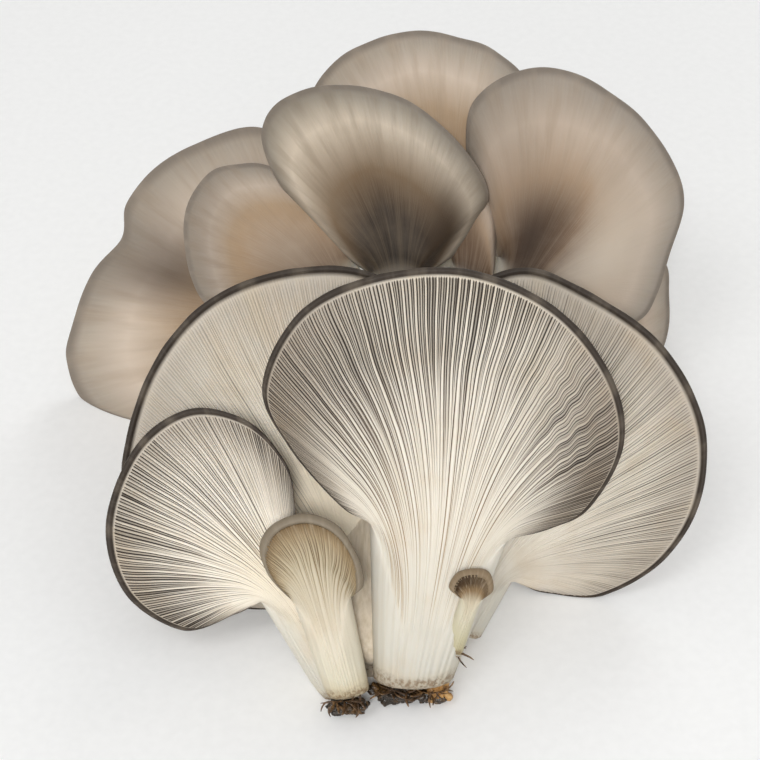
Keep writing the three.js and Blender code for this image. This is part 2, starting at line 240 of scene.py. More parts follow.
def shift_to_frame():
    """The step from the drawing's own origin to the frame's, read off the uncut main fan."""
    kind = MUSHROOMS["main_fan"]
    share = np.sin(np.linspace(-1, 1, CAD_ACROSS + 1) * math.pi / 2)[:, None] * np.ones(CAD_ALONG + 1)
    along = np.linspace(0, 1, CAD_ALONG + 1) * np.ones((CAD_ACROSS + 1, 1))
    middle, outward = middle_surface(kind, share, along)
    half = half_thickness(kind, share, along)[..., None] * np.array([0, 0, 1])
    rim = (middle + outward * RIM)[:, -1:]
    sides = (middle + half, middle - half, rim)
    cloud = np.vstack([placed(kind, part).reshape(-1, 3) for part in sides])
    low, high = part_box("main_fan")
    shift = (np.array(low) + np.array(high)) / 2 / MM - (cloud.min(0) + cloud.max(0)) / 2
    return np.array([shift[0], shift[1], 0.0])


for kind in MUSHROOMS.values():
    kind["curve"] = Margin(kind["margin"])
SHIFT = shift_to_frame()

# ---------------------------------------------------------------------------------------------
# Gills
# ---------------------------------------------------------------------------------------------
GILL_SPACING = 0.92       # at the margin
GILL_COLUMNS = (0.0, 0.28, 0.72)      # places across one groove and its gill
GILL_HEIGHTS = (0.0, 1.0, 1.0)        # of the gill at those places
GILL_DEPTH = 2.3          # of the deepest grooves
GROOVES_DEEPEN = (0.22, 0.64)
GROOVES_RISE, RISE = (0.72, 0.985), 0.45      # near the margin they lose this share of their depth
FOLDED = 0.03             # width that a gill takes before it begins, as a share of a grown one's
WIDTH_RAMPS = 1.9         # a gill widens from this many of its ramps before its start to as many after
HEIGHT_RAMPS = 1.3        # and reaches its height in this many ramps from the same beginning
LEVEL_STARTS = [(0.34, 0.62), (0.50, 0.72), (0.62, 0.84), (0.74, 0.98)]      # long gills to short ones
GOLDEN = 0.618034         # spreads the starts evenly, so that no gill is pushed far sideways
WAVE = 0.0019             # sideways waves of the gills near the margin, in share units


def gill_layout(kind, rows, seed):
    """Shares (columns, rows) at which the mesh's columns run, and the gill's height there, 0..1."""
    rng = np.random.default_rng(seed)
    spacing = kind.get("gill_spacing", GILL_SPACING)
    count = max(16, int(kind["curve"].length / spacing / 8) * 8)
    index = np.arange(count)
    level = np.select([index % 8 == 4, index % 4 == 2, index % 2 == 1], [1, 2, 3], 0)
    starts = np.array(LEVEL_STARTS)[level]
    rank = index // np.array([8, 8, 4, 2])[level]
    scatter = (rank * GOLDEN + 0.1 * rng.random(count)) % 1
    start = mix(starts[:, 0], starts[:, 1], scatter)
    ramp = rng.uniform(0.1, 0.18, count)
    begin = (start - WIDTH_RAMPS * ramp)[:, None]
    active = smooth(rows[None, :], begin, begin + ramp[:, None] * HEIGHT_RAMPS)
    widening = smooth(rows[None, :], begin, (start + WIDTH_RAMPS * ramp)[:, None])
    breadth = rng.uniform(0.85, 1.15, count)[:, None]
    width = FOLDED + widening * breadth
    edges = np.concatenate([np.zeros((1, len(rows))), np.cumsum(width, axis=0)])
    edges = edges / edges[-1] * 2 - 1
    tall = (rng.uniform(0.82, 1.0, count) - 0.08 * level)[:, None] * active
    shares = np.stack([mix(edges[:-1], edges[1:], place) for place in GILL_COLUMNS], 1)
    heights = np.stack([tall * height for height in GILL_HEIGHTS], 1)
    shares = np.vstack([shares.reshape(-1, len(rows)), edges[-1:]])
    heights = np.vstack([heights.reshape(-1, len(rows)), np.zeros((1, len(rows)))])
    return shares, heights


def groove_shade_strength(share, along, seed):
    """How much painted shade each groove gets: uneven from one to the next, and in soft patches."""
    rng = np.random.default_rng(seed + 40)
    columns = len(GILL_COLUMNS)
    count = (len(share) - 1) // columns
    each = rng.uniform(0.7, 1.3, count + 1)[(np.arange(len(share)) + columns // 2) // columns]
    patches = 0.85 + 0.3 * ripple(np.stack([share * 2.2, along * 1.8], -1), 1.4, seed + 9)
    return each[:, None] * np.clip(patches, 0.35, 1.2)


def crinkle(kind, share, along):
    """Sideways waves in the gills, in share units."""
    total = 0.0
    for at_share, at_along, size, strength in kind.get("crinkles", []):
        distance = ((share - at_share) / size) ** 2 + ((along - at_along) / (size * 0.8)) ** 2
        total = total + strength * np.exp(-distance) * np.sin((along - at_along) * 75 + share * 20)
    where = np.stack([share * 3, along * 6], -1)
    total = total + WAVE * ripple(where, 1.3, 5) * smooth(along, 0.55, 0.85)
    return total * (1 - share**2)


# ---------------------------------------------------------------------------------------------
# Building one mushroom's mesh
# ---------------------------------------------------------------------------------------------
ROLL_ANGLES = (128, 96, 64, 32, 0, -32, -64, -90)
ROLL = 0.84                           # radius of the rolled rim, as a share of the margin's half thickness
CREASE_IN, CREASE_UP = 0.8, 0.1       # where the gill side meets the rolled rim, in the same unit
MARGIN_FADE = (0.98, 0.997)           # where the gills run out
EAR_FADE = 18                         # how sharply the rolled rim closes at the two ends of the margin
FOOT_RINGS = (0.35, 0.7, 0.92)
FOOT_DOME = 0.35                      # how far the stem's end bulges, as a share of its half thickness
STEM_ENDS = (0.3, 0.5)                # where the stem's fibres and knobs run out
FRONT_FIBRES, BACK_FIBRES = 0.2, 0.16
KNOBS = 0.45
SWELL = 0.5                           # how far a cap's top side is uneven

STEM_ROWS = np.linspace(0, CAP_STARTS, 12)     # the same on both sides, where their outer columns meet
RIM_STARTS, RIM_ROWS = 0.972, (0.982, 0.991, 1.0)
TOP_RIM_ROW, TOP_STARTS = 0.985, 0.965


def front_rows(gilled_rows):
    """Rows from the foot to the margin, up the gill side."""
    cap = np.linspace(CAP_STARTS, RIM_STARTS, gilled_rows + 1)[1:]
    return np.concatenate([STEM_ROWS, cap, RIM_ROWS])


def back_rows(count):
    """Rows from the margin to the foot, down the top side."""
    cap = np.linspace(TOP_STARTS, CAP_STARTS, count + 1)[:-1]
    return np.concatenate([[TOP_RIM_ROW], cap, STEM_ROWS[::-1]])


def spots(places, share, along):
    """Soft patches of painted shade (amount above 0) and painted light (below 0): share, along, their half
    sizes and amount.
    """
    total = np.zeros_like(share)
    for at_share, at_along, wide, long, amount in places:
        total += amount * np.exp(-((share - at_share) / wide) ** 2 - ((along - at_along) / long) ** 2)
    return np.clip(total, -1, 1)


def foot_cap(kind, ring):
    """Rows that close the stem's end with a shallow dome."""
    foot = np.array(kind["foot"], float)
    dome = kind["stem"][1] * FOOT_DOME
    rows = []
    for size in (0.0,) + FOOT_RINGS:
        inner = mix(foot, ring, size)
        inner[:, 1] -= dome * math.sqrt(1 - size**2)
        rows.append(inner)
    return np.stack(rows, 1)


def mushroom_points(kind, seed, gilled_rows, top_rows):
    """Grid of points (columns, rows, 3) from the foot up the gill side, round the rim and down the top side,
    with the attributes that the materials read."""
    rim = kind.get("rim", RIM)
    rows = front_rows(gilled_rows)
    share, height = gill_layout(kind, rows, seed)
    share = np.clip(share + crinkle(kind, share, rows[None, :] + 0 * share), -1, 1)
    along = np.broadcast_to(rows, share.shape)
    middle, outward = middle_surface(kind, share, along)
    half = half_thickness(kind, share, along)

    spacing = np.linalg.norm(np.gradient(middle, axis=0), axis=-1) * len(GILL_COLUMNS)
    depth = GILL_DEPTH * smooth(along, *GROOVES_DEEPEN) * (1 - RISE * smooth(along, *GROOVES_RISE))
    depth = depth * (1 - smooth(along, *MARGIN_FADE)) * kind.get("gill_depth", 1)
    from_side = 1 - np.abs(share)
    below_cap = 1 - smooth(along, 0.42, 0.65)
    depth = depth * mix(smooth(from_side, 0.0, 0.11), smooth(from_side, 0.05, 0.45), below_cap)
    depth = np.minimum(depth, np.minimum(spacing * 1.9, half * 1.25))
    where = np.stack([share * 40, along * 4], -1)
    on_stem = 1 - smooth(along, *STEM_ENDS)
    fibres = FRONT_FIBRES * ripple(where, 6, seed + 1) * on_stem * np.sqrt(1 - share**2)
    knobs = KNOBS * ripple(middle[..., :2], 15, seed + 6) * on_stem * np.sqrt(1 - share**2)
    rise = half - depth * (1 - height) + fibres + knobs
    near_rim = smooth(along, RIM_STARTS, 1.0)
    at_ear = np.clip((1 - np.abs(share[:, -1:])) * EAR_FADE, 0, 1)
    rise = mix(rise, CREASE_UP * rim * at_ear, near_rim)
    gills = middle.copy()
    gills[..., 2] += rise
    gills -= outward * (CREASE_IN * rim * at_ear * near_rim)[..., None]

    edge, edge_out = middle[:, -1], outward[:, -1]
    round_margin = share[:, -1:] * kind["curve"].length / 20
    wobble = 1 + 0.1 * ripple(np.concatenate([round_margin, 0 * round_margin], 1), 1.6, seed + 2)
    radius = (rim * ROLL * wobble * at_ear[:, 0])[:, None]
    angles = [math.radians(angle) for angle in ROLL_ANGLES]
    up = np.array([0, 0, 1.0])
    roll = np.stack([edge + radius * (math.cos(a) * edge_out + math.sin(a) * up) for a in angles], 1)

    top_along = back_rows(top_rows)
    even = np.sin(np.linspace(-1, 1, len(share))[:, None] * math.pi / 2)
    top_share = mix(even, share[:, -1:], smooth(top_along, 0.7, 1.0)[None, :])
    t_along = np.broadcast_to(top_along, top_share.shape)
    top_middle, _ = middle_surface(kind, top_share, t_along)
    top_half = half_thickness(kind, top_share, t_along)
    top = top_middle.copy()
    swell = kind.get("swell", SWELL) * ripple(top_middle[..., :2], 34, seed + 3) * smooth(t_along, 0.45, 0.7)
    swell = swell * (1 - smooth(t_along, 0.9, 1.0)) * (1 - top_share**4)
    where = np.stack([top_share * 40, t_along * 4], -1)
    fibres_back = BACK_FIBRES * ripple(where, 6, seed + 4) * (1 - smooth(t_along, *STEM_ENDS))
    fibres_back = fibres_back * np.sqrt(np.clip(1 - top_share**2, 0, 1))
    top[..., 2] -= top_half + swell + fibres_back

    front_foot = foot_cap(kind, gills[:, 0])
    back_foot = foot_cap(kind, top[:, -1])[:, ::-1]
    points = np.concatenate([front_foot, gills, roll, top, back_foot], 1)

    # painted shade in the valleys between the gills: most in the deepest valleys, none on the gill crests
    groove = smooth(depth, 0.05, 1.2) * (1 - height) * kind.get("groove_tone", 0.5)
    groove = groove * groove_shade_strength(share, along, seed)
    # painted shade (above 0) and painted light (below 0), in the patches listed for each side
    gill_painted_shade = spots(kind.get("gill_spots", []), share, along)
    top_painted_shade = spots(kind.get("top_spots", []), top_share, t_along)
    widths = [band.shape[1] for band in (front_foot, gills, roll, top, back_foot)]
    bands = {
        "reach": (0.0, along, 1.0, t_along, 0.0),
        "share": (share[:, :1], share, share[:, -1:], top_share, top_share[:, -1:]),
        "groove": (0.0, groove, 0.0, 0.0, 0.0),
        "skin": (0.0, smooth(along, 0.99, 1.0), 1.0, smooth(t_along, 0.38, 0.5), 0.0),
        # painted shade above 0, painted light below 0
        "shade": (0.0, gill_painted_shade, 0.0, top_painted_shade, 0.0),
    }
    attributes = {}
    for key, values in bands.items():
        filled = [np.broadcast_to(value, (len(share), width)) for value, width in zip(values, widths)]
        attributes[key] = np.concatenate(filled, 1)
    return points, attributes


FLOOR_SOFTNESS = 1.2      # how near the floor flesh begins to flatten


def rest_on_floor(points):
    """Whatever would go below the surface is pressed flat on it."""
    z = points[..., 2]
    pressed = FLOOR_SOFTNESS * np.exp(np.minimum((z - FLOOR_SOFTNESS) / FLOOR_SOFTNESS, 0))
    points[..., 2] = np.where(z > FLOOR_SOFTNESS, z, pressed)
    return points


WELD = 2e-4               # millimetres


def grid_mesh(name, points, attributes):
    """A closed mesh from a grid whose rows run round the piece and whose outer columns meet."""
    columns, rows = points.shape[:2]
    flat = points.reshape(-1, 3)
    keys = np.round(flat / WELD).astype(np.int64)
    _, first, inverse = np.unique(keys, axis=0, return_index=True, return_inverse=True)
    inverse = inverse.reshape(-1)
    index = np.arange(columns * rows).reshape(columns, rows)
    quads = np.stack([index[:-1, :-1], index[1:, :-1], index[1:, 1:], index[:-1, 1:]], -1).reshape(-1, 4)
    quads = inverse[quads]
    step = quads != np.roll(quads, 1, axis=1)
    whole = step.all(1) & (quads[:, 0] != quads[:, 2]) & (quads[:, 1] != quads[:, 3])
    faces = quads[whole].tolist()
    for quad, keep in zip(quads[~whole], step[~whole]):
        corner = quad[keep]
        if len(set(corner.tolist())) == 3 == len(corner):
            faces.append(corner.tolist())
    mesh = bpy.data.meshes.new(name)
    mesh.from_pydata((flat[first] * MM).tolist(), [], faces)
    for key, values in attributes.items():
        layer = mesh.attributes.new(key, "FLOAT", "POINT")
        layer.data.foreach_set("value", values.reshape(-1)[first].astype(np.float32))
    mesh.polygons.foreach_set("use_smooth", np.ones(len(mesh.polygons), bool))
    mesh.update()
    return mesh


def add_piece(name, mesh, node, material):
    piece = bpy.data.objects.new(name, mesh)
    bpy.context.scene.collection.objects.link(piece)
    piece.data.materials.append(material)
    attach(piece, "root")
    if node:
        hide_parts(node)
    return piece


# ---------------------------------------------------------------------------------------------
# Materials
# ---------------------------------------------------------------------------------------------
def colour(red, green, blue):
    """Linear colour of an sRGB one given as 0..255."""
    linear = []
    for value in (red / 255, green / 255, blue / 255):
        linear.append(value / 12.92 if value <= 0.04045 else ((value + 0.055) / 1.055) ** 2.4)
    return (*linear, 1.0)


class Graph:
    """Short names for the shader nodes that the materials are made of."""

    def __init__(self, name):
        self.material = bpy.data.materials.new(name)
        self.material.use_nodes = True
        self.nodes = self.material.node_tree.nodes
        self.links = self.material.node_tree.links
        self.shader = self.nodes["Principled BSDF"]

    def put(self, socket, value):
        if isinstance(value, bpy.types.NodeSocket):
            self.links.new(value, socket)
        else:
            socket.default_value = value

    def attribute(self, name):
        node = self.nodes.new("ShaderNodeAttribute")
        node.attribute_name = name
        return node.outputs["Fac"]

    def math(self, operation, a, b):
        node = self.nodes.new("ShaderNodeMath")
        node.operation = operation
        self.put(node.inputs[0], a)
        self.put(node.inputs[1], b)
        return node.outputs[0]

    def vector(self, x, y, z=0.0):
        node = self.nodes.new("ShaderNodeCombineXYZ")
        for socket, value in zip(node.inputs, (x, y, z)):
            self.put(socket, value)
        return node.outputs[0]

    def place(self):
        return self.nodes.new("ShaderNodeTexCoord").outputs["Object"]

    def noise(self, at, scale, detail=3.0, roughness=0.55):
        node = self.nodes.new("ShaderNodeTexNoise")
        self.put(node.inputs["Vector"], at)
        node.inputs["Scale"].default_value = scale
        node.inputs["Detail"].default_value = detail
        node.inputs["Roughness"].default_value = roughness
        return node.outputs["Fac"]

    def ramp(self, value, stops):
        node = self.nodes.new("ShaderNodeValToRGB")
        self.put(node.inputs["Fac"], value)
        elements = node.color_ramp.elements
        while len(elements) < len(stops):
            elements.new(0.5)
        for element, (position, shade) in zip(elements, stops):
            element.position = position
            element.color = shade
        return node.outputs["Color"]

    def span(self, value, low, high, to_low=0.0, to_high=1.0):
        node = self.nodes.new("ShaderNodeMapRange")
        node.interpolation_type = "SMOOTHSTEP"
        self.put(node.inputs["Value"], value)
        limits = {"From Min": low, "From Max": high, "To Min": to_low, "To Max": to_high}
        for key, number in limits.items():
            node.inputs[key].default_value = number
        return node.outputs["Result"]

    def blend(self, share, a, b):
        node = self.nodes.new("ShaderNodeMix")
        node.data_type = "RGBA"
        self.put(node.inputs["Factor"], share)
        self.put(node.inputs["A"], a)
        self.put(node.inputs["B"], b)
        return node.outputs["Result"]

    def bump(self, height, distance, strength):
        node = self.nodes.new("ShaderNodeBump")
        self.put(node.inputs["Height"], height)
        node.inputs["Distance"].default_value = distance
        node.inputs["Strength"].default_value = strength
        return node.outputs["Normal"]

    def finish(self, base, roughness, normal, specular=0.22, subsurface=0.0, sheen=0.0):
        self.put(self.shader.inputs["Base Color"], base)
        self.put(self.shader.inputs["Roughness"], roughness)
        self.put(self.shader.inputs["Normal"], normal)
        self.shader.inputs["Specular IOR Level"].default_value = specular
        self.shader.inputs["Subsurface Weight"].default_value = subsurface
        self.shader.inputs["Subsurface Radius"].default_value = (1.0, 0.7, 0.45)
        self.shader.inputs["Subsurface Scale"].default_value = 0.0015
        self.shader.inputs["Sheen Weight"].default_value = sheen
        self.shader.inputs["Sheen Roughness"].default_value = 0.5
        return self.material


def mushroom_material(name, looks):
    """Flesh and gills on one side, skin on the other, told apart by the mesh's own attributes."""
    g = Graph(name)
    keys = ("reach", "share", "groove", "skin", "shade")
    reach, share, groove, skin, shade = (g.attribute(key) for key in keys)
    at = g.place()
    wide_step = g.vector(g.math("MULTIPLY", share, 18.0), g.math("MULTIPLY", reach, 3.2))
    fine_step = g.vector(g.math("MULTIPLY", share, 150.0), g.math("MULTIPLY", reach, 7.0))
    streak, fine_streak = g.noise(wide_step, 1.0), g.noise(fine_step, 1.0)
    blotch = g.noise(at, 45.0, 4.0)
    grain = g.noise(at, 900.0, 3.0)
    # painted shade where the shade attribute is above 0, painted light where it is below 0
    painted_shade_amount = g.math("MAXIMUM", shade, 0.0)
    painted_light_amount = g.math("MAXIMUM", g.math("MULTIPLY", shade, -1.0), 0.0)

    flesh = g.ramp(reach, looks["gill_side"])
    flesh = g.blend(g.span(streak, 0.45, 0.75, 0.0, 0.3), flesh, looks["gill_streak"])
    flesh = g.blend(g.math("MULTIPLY", g.span(blotch, 0.5, 0.72), looks["warmth"]), flesh, looks["warm"])
    # patches of painted shade and painted light on the gill side
    flesh = g.blend(painted_shade_amount, flesh, looks["gill_painted_shade"])
    flesh = g.blend(painted_light_amount, flesh, looks["gill_painted_light"])
    # painted shade in the valleys between the gills, from tan on the stem to near black out on the cap
    flesh = g.blend(g.span(groove, 0.05, 0.66, 0.0, 0.97), flesh, g.ramp(reach, looks["groove_shade"]))
    soil = g.math("MULTIPLY", g.span(reach, 0.045, 0.0), g.span(grain, 0.4, 0.62, 0.3, 1.0))
    flesh = g.blend(g.math("MULTIPLY", soil, looks["soil_strength"]), flesh, looks["soil"])

    top = g.ramp(reach, looks["top_side"])
    top = g.blend(g.span(streak, 0.4, 0.7, 0.0, 0.32), top, looks["top_streak"])
    top = g.blend(g.span(blotch, 0.45, 0.75, 0.0, 0.22), top, looks["top_blotch"])
    top = g.blend(g.span(fine_streak, 0.35, 0.7, 0.0, 0.12), top, looks["top_light"])
    # patches of painted shade and painted light on the top side
    top = g.blend(painted_shade_amount, top, looks["top_painted_shade"])
    top = g.blend(painted_light_amount, top, looks["top_painted_light"])
    edge = g.math("MULTIPLY", g.span(reach, looks["edge_from"], 0.998), looks["edge_strength"])
    rim = g.blend(g.span(streak, 0.45, 0.68, 0.0, looks["edge_streak"]), looks["edge"], looks["edge_light"])
    top = g.blend(edge, top, rim)

    base = g.blend(skin, flesh, top)
    roughness = g.span(fine_streak, 0.3, 0.7, looks["roughness"] - 0.06, looks["roughness"] + 0.08)
    relief = g.math("ADD", g.math("MULTIPLY", fine_streak, 0.7), g.math("MULTIPLY", grain, 0.3))
    normal = g.bump(relief, 0.0004, 0.35)
    return g.finish(base, roughness, normal, subsurface=0.1, sheen=looks["sheen"])


WET = 0.3                 # spread of a lump's roughness between its wet and dry places


def lump_material(name, dark, mid, light, roughness):
    """Broken bark or husk, wet in places."""
    g = Graph(name)
    at = g.place()
    large = g.noise(at, 160.0, 5.0, 0.65)
    small = g.noise(at, 880.0, 4.0, 0.6)
    mixed = g.math("ADD", g.math("MULTIPLY", large, 0.65), g.math("MULTIPLY", small, 0.35))
    base = g.ramp(mixed, [(0.36, dark), (0.5, mid), (0.66, light)])
    rough = g.span(small, 0.35, 0.65, roughness - WET / 2, roughness + WET / 2)
    return g.finish(base, rough, g.bump(mixed, 0.0012, 0.7), specular=0.5)


def base_material(name):
    """Stem flesh, with fine fibres along the cluster and dirt where it touched the block."""
    g = Graph(name)
    at = g.place()
    split = g.nodes.new("ShaderNodeSeparateXYZ")
    g.put(split.inputs[0], at)
    x, y, z = split.outputs
    stretched = g.vector(
        g.math("MULTIPLY", x, 900.0), g.math("MULTIPLY", y, 90.0), g.math("MULTIPLY", z, 900.0))
    fibre = g.noise(stretched, 1.0, 4.0)
    blotch = g.noise(at, 90.0, 4.0)
    base = g.ramp(fibre, [
        (0.35, colour(212, 198, 174)), (0.52, colour(224, 211, 190)), (0.7, colour(233, 221, 202))])
    base = g.blend(g.span(blotch, 0.5, 0.72, 0.0, 0.25), base, colour(204, 182, 154))
    dirt = g.math("MULTIPLY", g.span(y, -0.084, -0.1), g.span(blotch, 0.42, 0.6, 0.2, 1.0))
    base = g.blend(dirt, base, colour(112, 88, 58))
    return g.finish(base, g.span(fibre, 0.3, 0.7, 0.62, 0.8), g.bump(fibre, 0.0006, 0.5), subsurface=0.1)


# Along the reach: gill side from foot to margin, top side from neck to margin.
PALE = dict(
    gill_side=[(0.0, colour(198, 190, 172)), (0.08, colour(208, 204, 192)), (0.3, colour(219, 214, 201)),
               (0.5, colour(243, 236, 222)), (0.68, colour(250, 242, 228)), (0.84, colour(242, 233, 218)),
               (0.97, colour(200, 190, 176))],
    gill_streak=colour(206, 192, 168), warmth=0.25, warm=colour(208, 182, 144),
    # colours of the painted shade and the painted light on the gill side
    gill_painted_shade=colour(108, 88, 65), gill_painted_light=colour(255, 243, 220),
    # colours of the painted shade in the valleys between the gills, from tan on the stem to near black on the
    # cap
    groove_shade=[(0.28, colour(220, 202, 170)), (0.45, colour(166, 130, 86)), (0.58, colour(84, 60, 38)),
             (0.8, colour(32, 23, 16)), (0.97, colour(44, 35, 27))],
    soil=colour(120, 94, 66), soil_strength=0.8,
    top_side=[(0.35, colour(214, 204, 186)), (0.5, colour(156, 141, 122)), (0.75, colour(140, 127, 110)),
              (0.97, colour(112, 101, 88))],
    top_streak=colour(128, 113, 95), top_blotch=colour(160, 146, 128), top_light=colour(178, 165, 148),
    # colours of the painted shade and the painted light on the top side
    top_painted_shade=colour(56, 40, 28), top_painted_light=colour(206, 194, 178),
    edge=colour(62, 54, 47), edge_light=colour(108, 98, 86),
    edge_strength=1.0, edge_from=0.945, edge_streak=0.6,
    roughness=0.56, sheen=0.0)
YOUNG = dict(
    PALE,
    # from reach 0.66 the gill side browns towards the rim: the gills' own tone, deepened by painted shade
    # under the rolled rim
    gill_side=[(0.0, colour(204, 192, 162)), (0.1, colour(218, 211, 190)), (0.4, colour(224, 214, 194)),
               (0.66, colour(204, 191, 164)), (0.86, colour(170, 150, 118)), (0.97, colour(122, 99, 68))],
    # colours of the painted shade in the valleys between the gills
    groove_shade=[(0.4, colour(186, 162, 122)), (0.65, colour(122, 98, 62)), (0.9, colour(72, 54, 32))],
    edge=colour(134, 122, 104), edge_light=colour(156, 144, 124), edge_streak=0.3, roughness=0.4,
    # colour of the painted shade on the gill side
    gill_painted_shade=colour(140, 118, 82))
PIN = dict(
    YOUNG,
    # from reach 0.58 to the margin the gill side darkens: painted shade under the little cap
    gill_side=[(0.0, colour(182, 172, 136)), (0.12, colour(196, 189, 158)), (0.3, colour(210, 203, 180)),
               (0.46, colour(206, 193, 168)), (0.58, colour(140, 114, 80)), (0.75, colour(78, 58, 36)),
               (0.97, colour(62, 45, 28))],
    # colours of the painted shade in the valleys between the gills
    groove_shade=[(0.4, colour(150, 124, 84)), (0.9, colour(70, 50, 30))],
    edge=colour(136, 117, 92), edge_light=colour(168, 150, 124))
GREY = dict(
    PALE,
    # the dark band about reach 0.5 is painted shade in the funnel, over the cap's own browner colour there
    top_side=[(0.35, colour(188, 168, 138)), (0.5, colour(112, 86, 62)), (0.62, colour(146, 117, 87)),
              (0.76, colour(172, 147, 119)), (0.87, colour(208, 191, 173)), (0.97, colour(162, 151, 137))],
    top_streak=colour(150, 128, 104), top_blotch=colour(190, 173, 153), top_light=colour(204, 190, 172),
    edge=colour(112, 102, 92), edge_light=colour(142, 132, 120), edge_strength=0.7, edge_from=0.97,
    sheen=0.03)
OLIVE = dict(
    # a deeper brown for the painted shade on the top side
    GREY, top_painted_shade=colour(58, 44, 30),
    # the near-black band from reach 0.5 to 0.6 is painted shade in the funnel, over the cap's own olive brown
    top_side=[(0.35, colour(150, 130, 104)), (0.5, colour(32, 23, 16)), (0.6, colour(44, 32, 22)),
              (0.72, colour(112, 90, 66)), (0.88, colour(208, 193, 173)), (0.97, colour(150, 141, 127))],
    top_streak=colour(108, 92, 72), top_blotch=colour(142, 126, 105), top_light=colour(160, 146, 126))
TAN = dict(
    GREY,
    # the dark band from reach 0.46 to 0.56 is painted shade in the funnel, over the cap's own browner colour
    # there
    top_side=[(0.35, colour(140, 116, 88)), (0.46, colour(72, 52, 35)), (0.56, colour(104, 79, 57)),
              (0.7, colour(166, 141, 116)), (0.85, colour(194, 176, 158)), (0.97, colour(156, 145, 132))],
    top_streak=colour(156, 136, 114), top_blotch=colour(188, 173, 156), top_light=colour(198, 186, 170))

# By colour slot; the pin mushroom has one of its own.
MATERIALS = {
    "pale_fan": mushroom_material("pale_fan_flesh", PALE),
    "young_flesh": mushroom_material("young_mushroom_flesh", YOUNG),
    "pin_mushroom": mushroom_material("pin_mushroom_flesh", PIN),
    "grey_cap": mushroom_material("grey_cap_skin", GREY),
    "olive_cap": mushroom_material("olive_cap_skin", OLIVE),
    "tan_cap": mushroom_material("tan_cap_skin", TAN),
    "stem_base": base_material("fused_stem_flesh"),
    "wet_bark": lump_material(
        "damp_bark", colour(20, 16, 11), colour(46, 34, 20), colour(126, 92, 50), 0.24),
    "spawn_grain": lump_material(
        "spawn_grain_husk", colour(104, 70, 34), colour(176, 130, 72), colour(214, 178, 120), 0.4),
}

# ---------------------------------------------------------------------------------------------
# The pieces
# ---------------------------------------------------------------------------------------------
ROWS = {                  # rows across the gills and down the top side
    "main_fan": (47, 9), "left_small_fan": (56, 14), "right_fan": (44, 9), "left_fan": (38, 8),
    "young_fan": (40, 16), "pin_mushroom": (26, 14), "back_left_cap": (26, 32),
}
BACK_ROWS = (34, 40)      # the caps behind show their top side
BACK_SWELL, BACK_GILL_SPACING = 0.9, 1.1

# Crinkles are (share, along, size, strength); the patches of painted shade (amount above 0) and painted light
# (below 0) are listed as the patch function above takes them.
# the main fan: painted shade towards its two side margins, painted light at the middle of its margin
MUSHROOMS["main_fan"].update(
    groove_tone=1.0, crinkles=[(0.5, 0.82, 0.14, 0.006), (0.38, 0.88, 0.08, 0.004)],
    gill_spots=[(-0.55, 0.88, 0.42, 0.2, 0.6), (0.6, 0.88, 0.4, 0.2, 0.55), (0, 0.96, 0.4, 0.1, -0.4),
                (0.85, 0.8, 0.2, 0.2, 0.2)])
# the left small fan: painted shade near both sides of its margin, painted light round its neck
MUSHROOMS["left_small_fan"].update(groove_tone=1.0, gill_spots=[
    (0.6, 0.8, 0.35, 0.25, 0.25), (-0.7, 0.9, 0.3, 0.2, 0.2), (0.3, 0.5, 0.9, 0.14, -0.8)])
# the left fan: painted light on flesh that lies in shade behind the main fan
MUSHROOMS["left_fan"].update(groove_tone=0.42, gill_depth=0.6, gill_spots=[(0.05, 0.5, 0.9, 0.22, -1.0)])
# the right fan: painted shade in two patches towards its margin
MUSHROOMS["right_fan"].update(groove_tone=0.55, gill_depth=0.7, gill_spots=[
    (0.1, 0.96, 0.5, 0.08, 0.1), (0.64, 0.78, 0.22, 0.2, 0.3)])
MUSHROOMS["pin_mushroom"].update(gill_depth=0.25, groove_tone=0.3)
# the young fan: painted shade near one end of its margin, under the rolled rim
MUSHROOMS["young_fan"].update(gill_depth=0.4, groove_tone=0.75, gill_spacing=0.8, gill_spots=[
    (0.8, 0.85, 0.4, 0.3, 0.5)])
# the back caps: patches of painted shade, over the caps' own browner colour in the funnels, and a few of
# painted light
MUSHROOMS["back_right_cap"]["top_spots"] = [
    (0.26, 0.54, 0.3, 0.12, 0.9), (0.5, 0.82, 0.22, 0.2, 0.22), (-0.42, 0.68, 0.32, 0.2, -0.75)]
MUSHROOMS["back_left_cap"]["top_spots"] = [(-0.1, 0.84, 0.15, 0.14, 0.72), (0.12, 0.88, 0.1, 0.1, -0.2)]
MUSHROOMS["back_centre_cap"]["top_spots"] = [(-0.6, 0.72, 0.2, 0.16, 0.75), (-0.8, 0.55, 0.3, 0.2, 0.6)]
MUSHROOMS["back_small_cap"]["top_spots"] = [(-0.05, 0.58, 0.4, 0.12, -0.25), (0.2, 0.9, 0.5, 0.14, 0.4)]
for back_cap in ("back_left_cap", "back_top_cap", "back_right_cap", "back_centre_cap", "back_small_cap"):
    MUSHROOMS[back_cap].update(swell=BACK_SWELL, gill_spacing=BACK_GILL_SPACING)

for seed, (node, kind) in enumerate(MUSHROOMS.items(), start=11):
    points, attributes = mushroom_points(kind, seed, *ROWS.get(node, BACK_ROWS))
    world = rest_on_floor(placed(kind, points) + SHIFT)
    mesh = grid_mesh(node + "_mesh", world, attributes)
    add_piece(node + "_mushroom", mesh, node, MATERIALS.get(node, MATERIALS[kind["slot"]]))

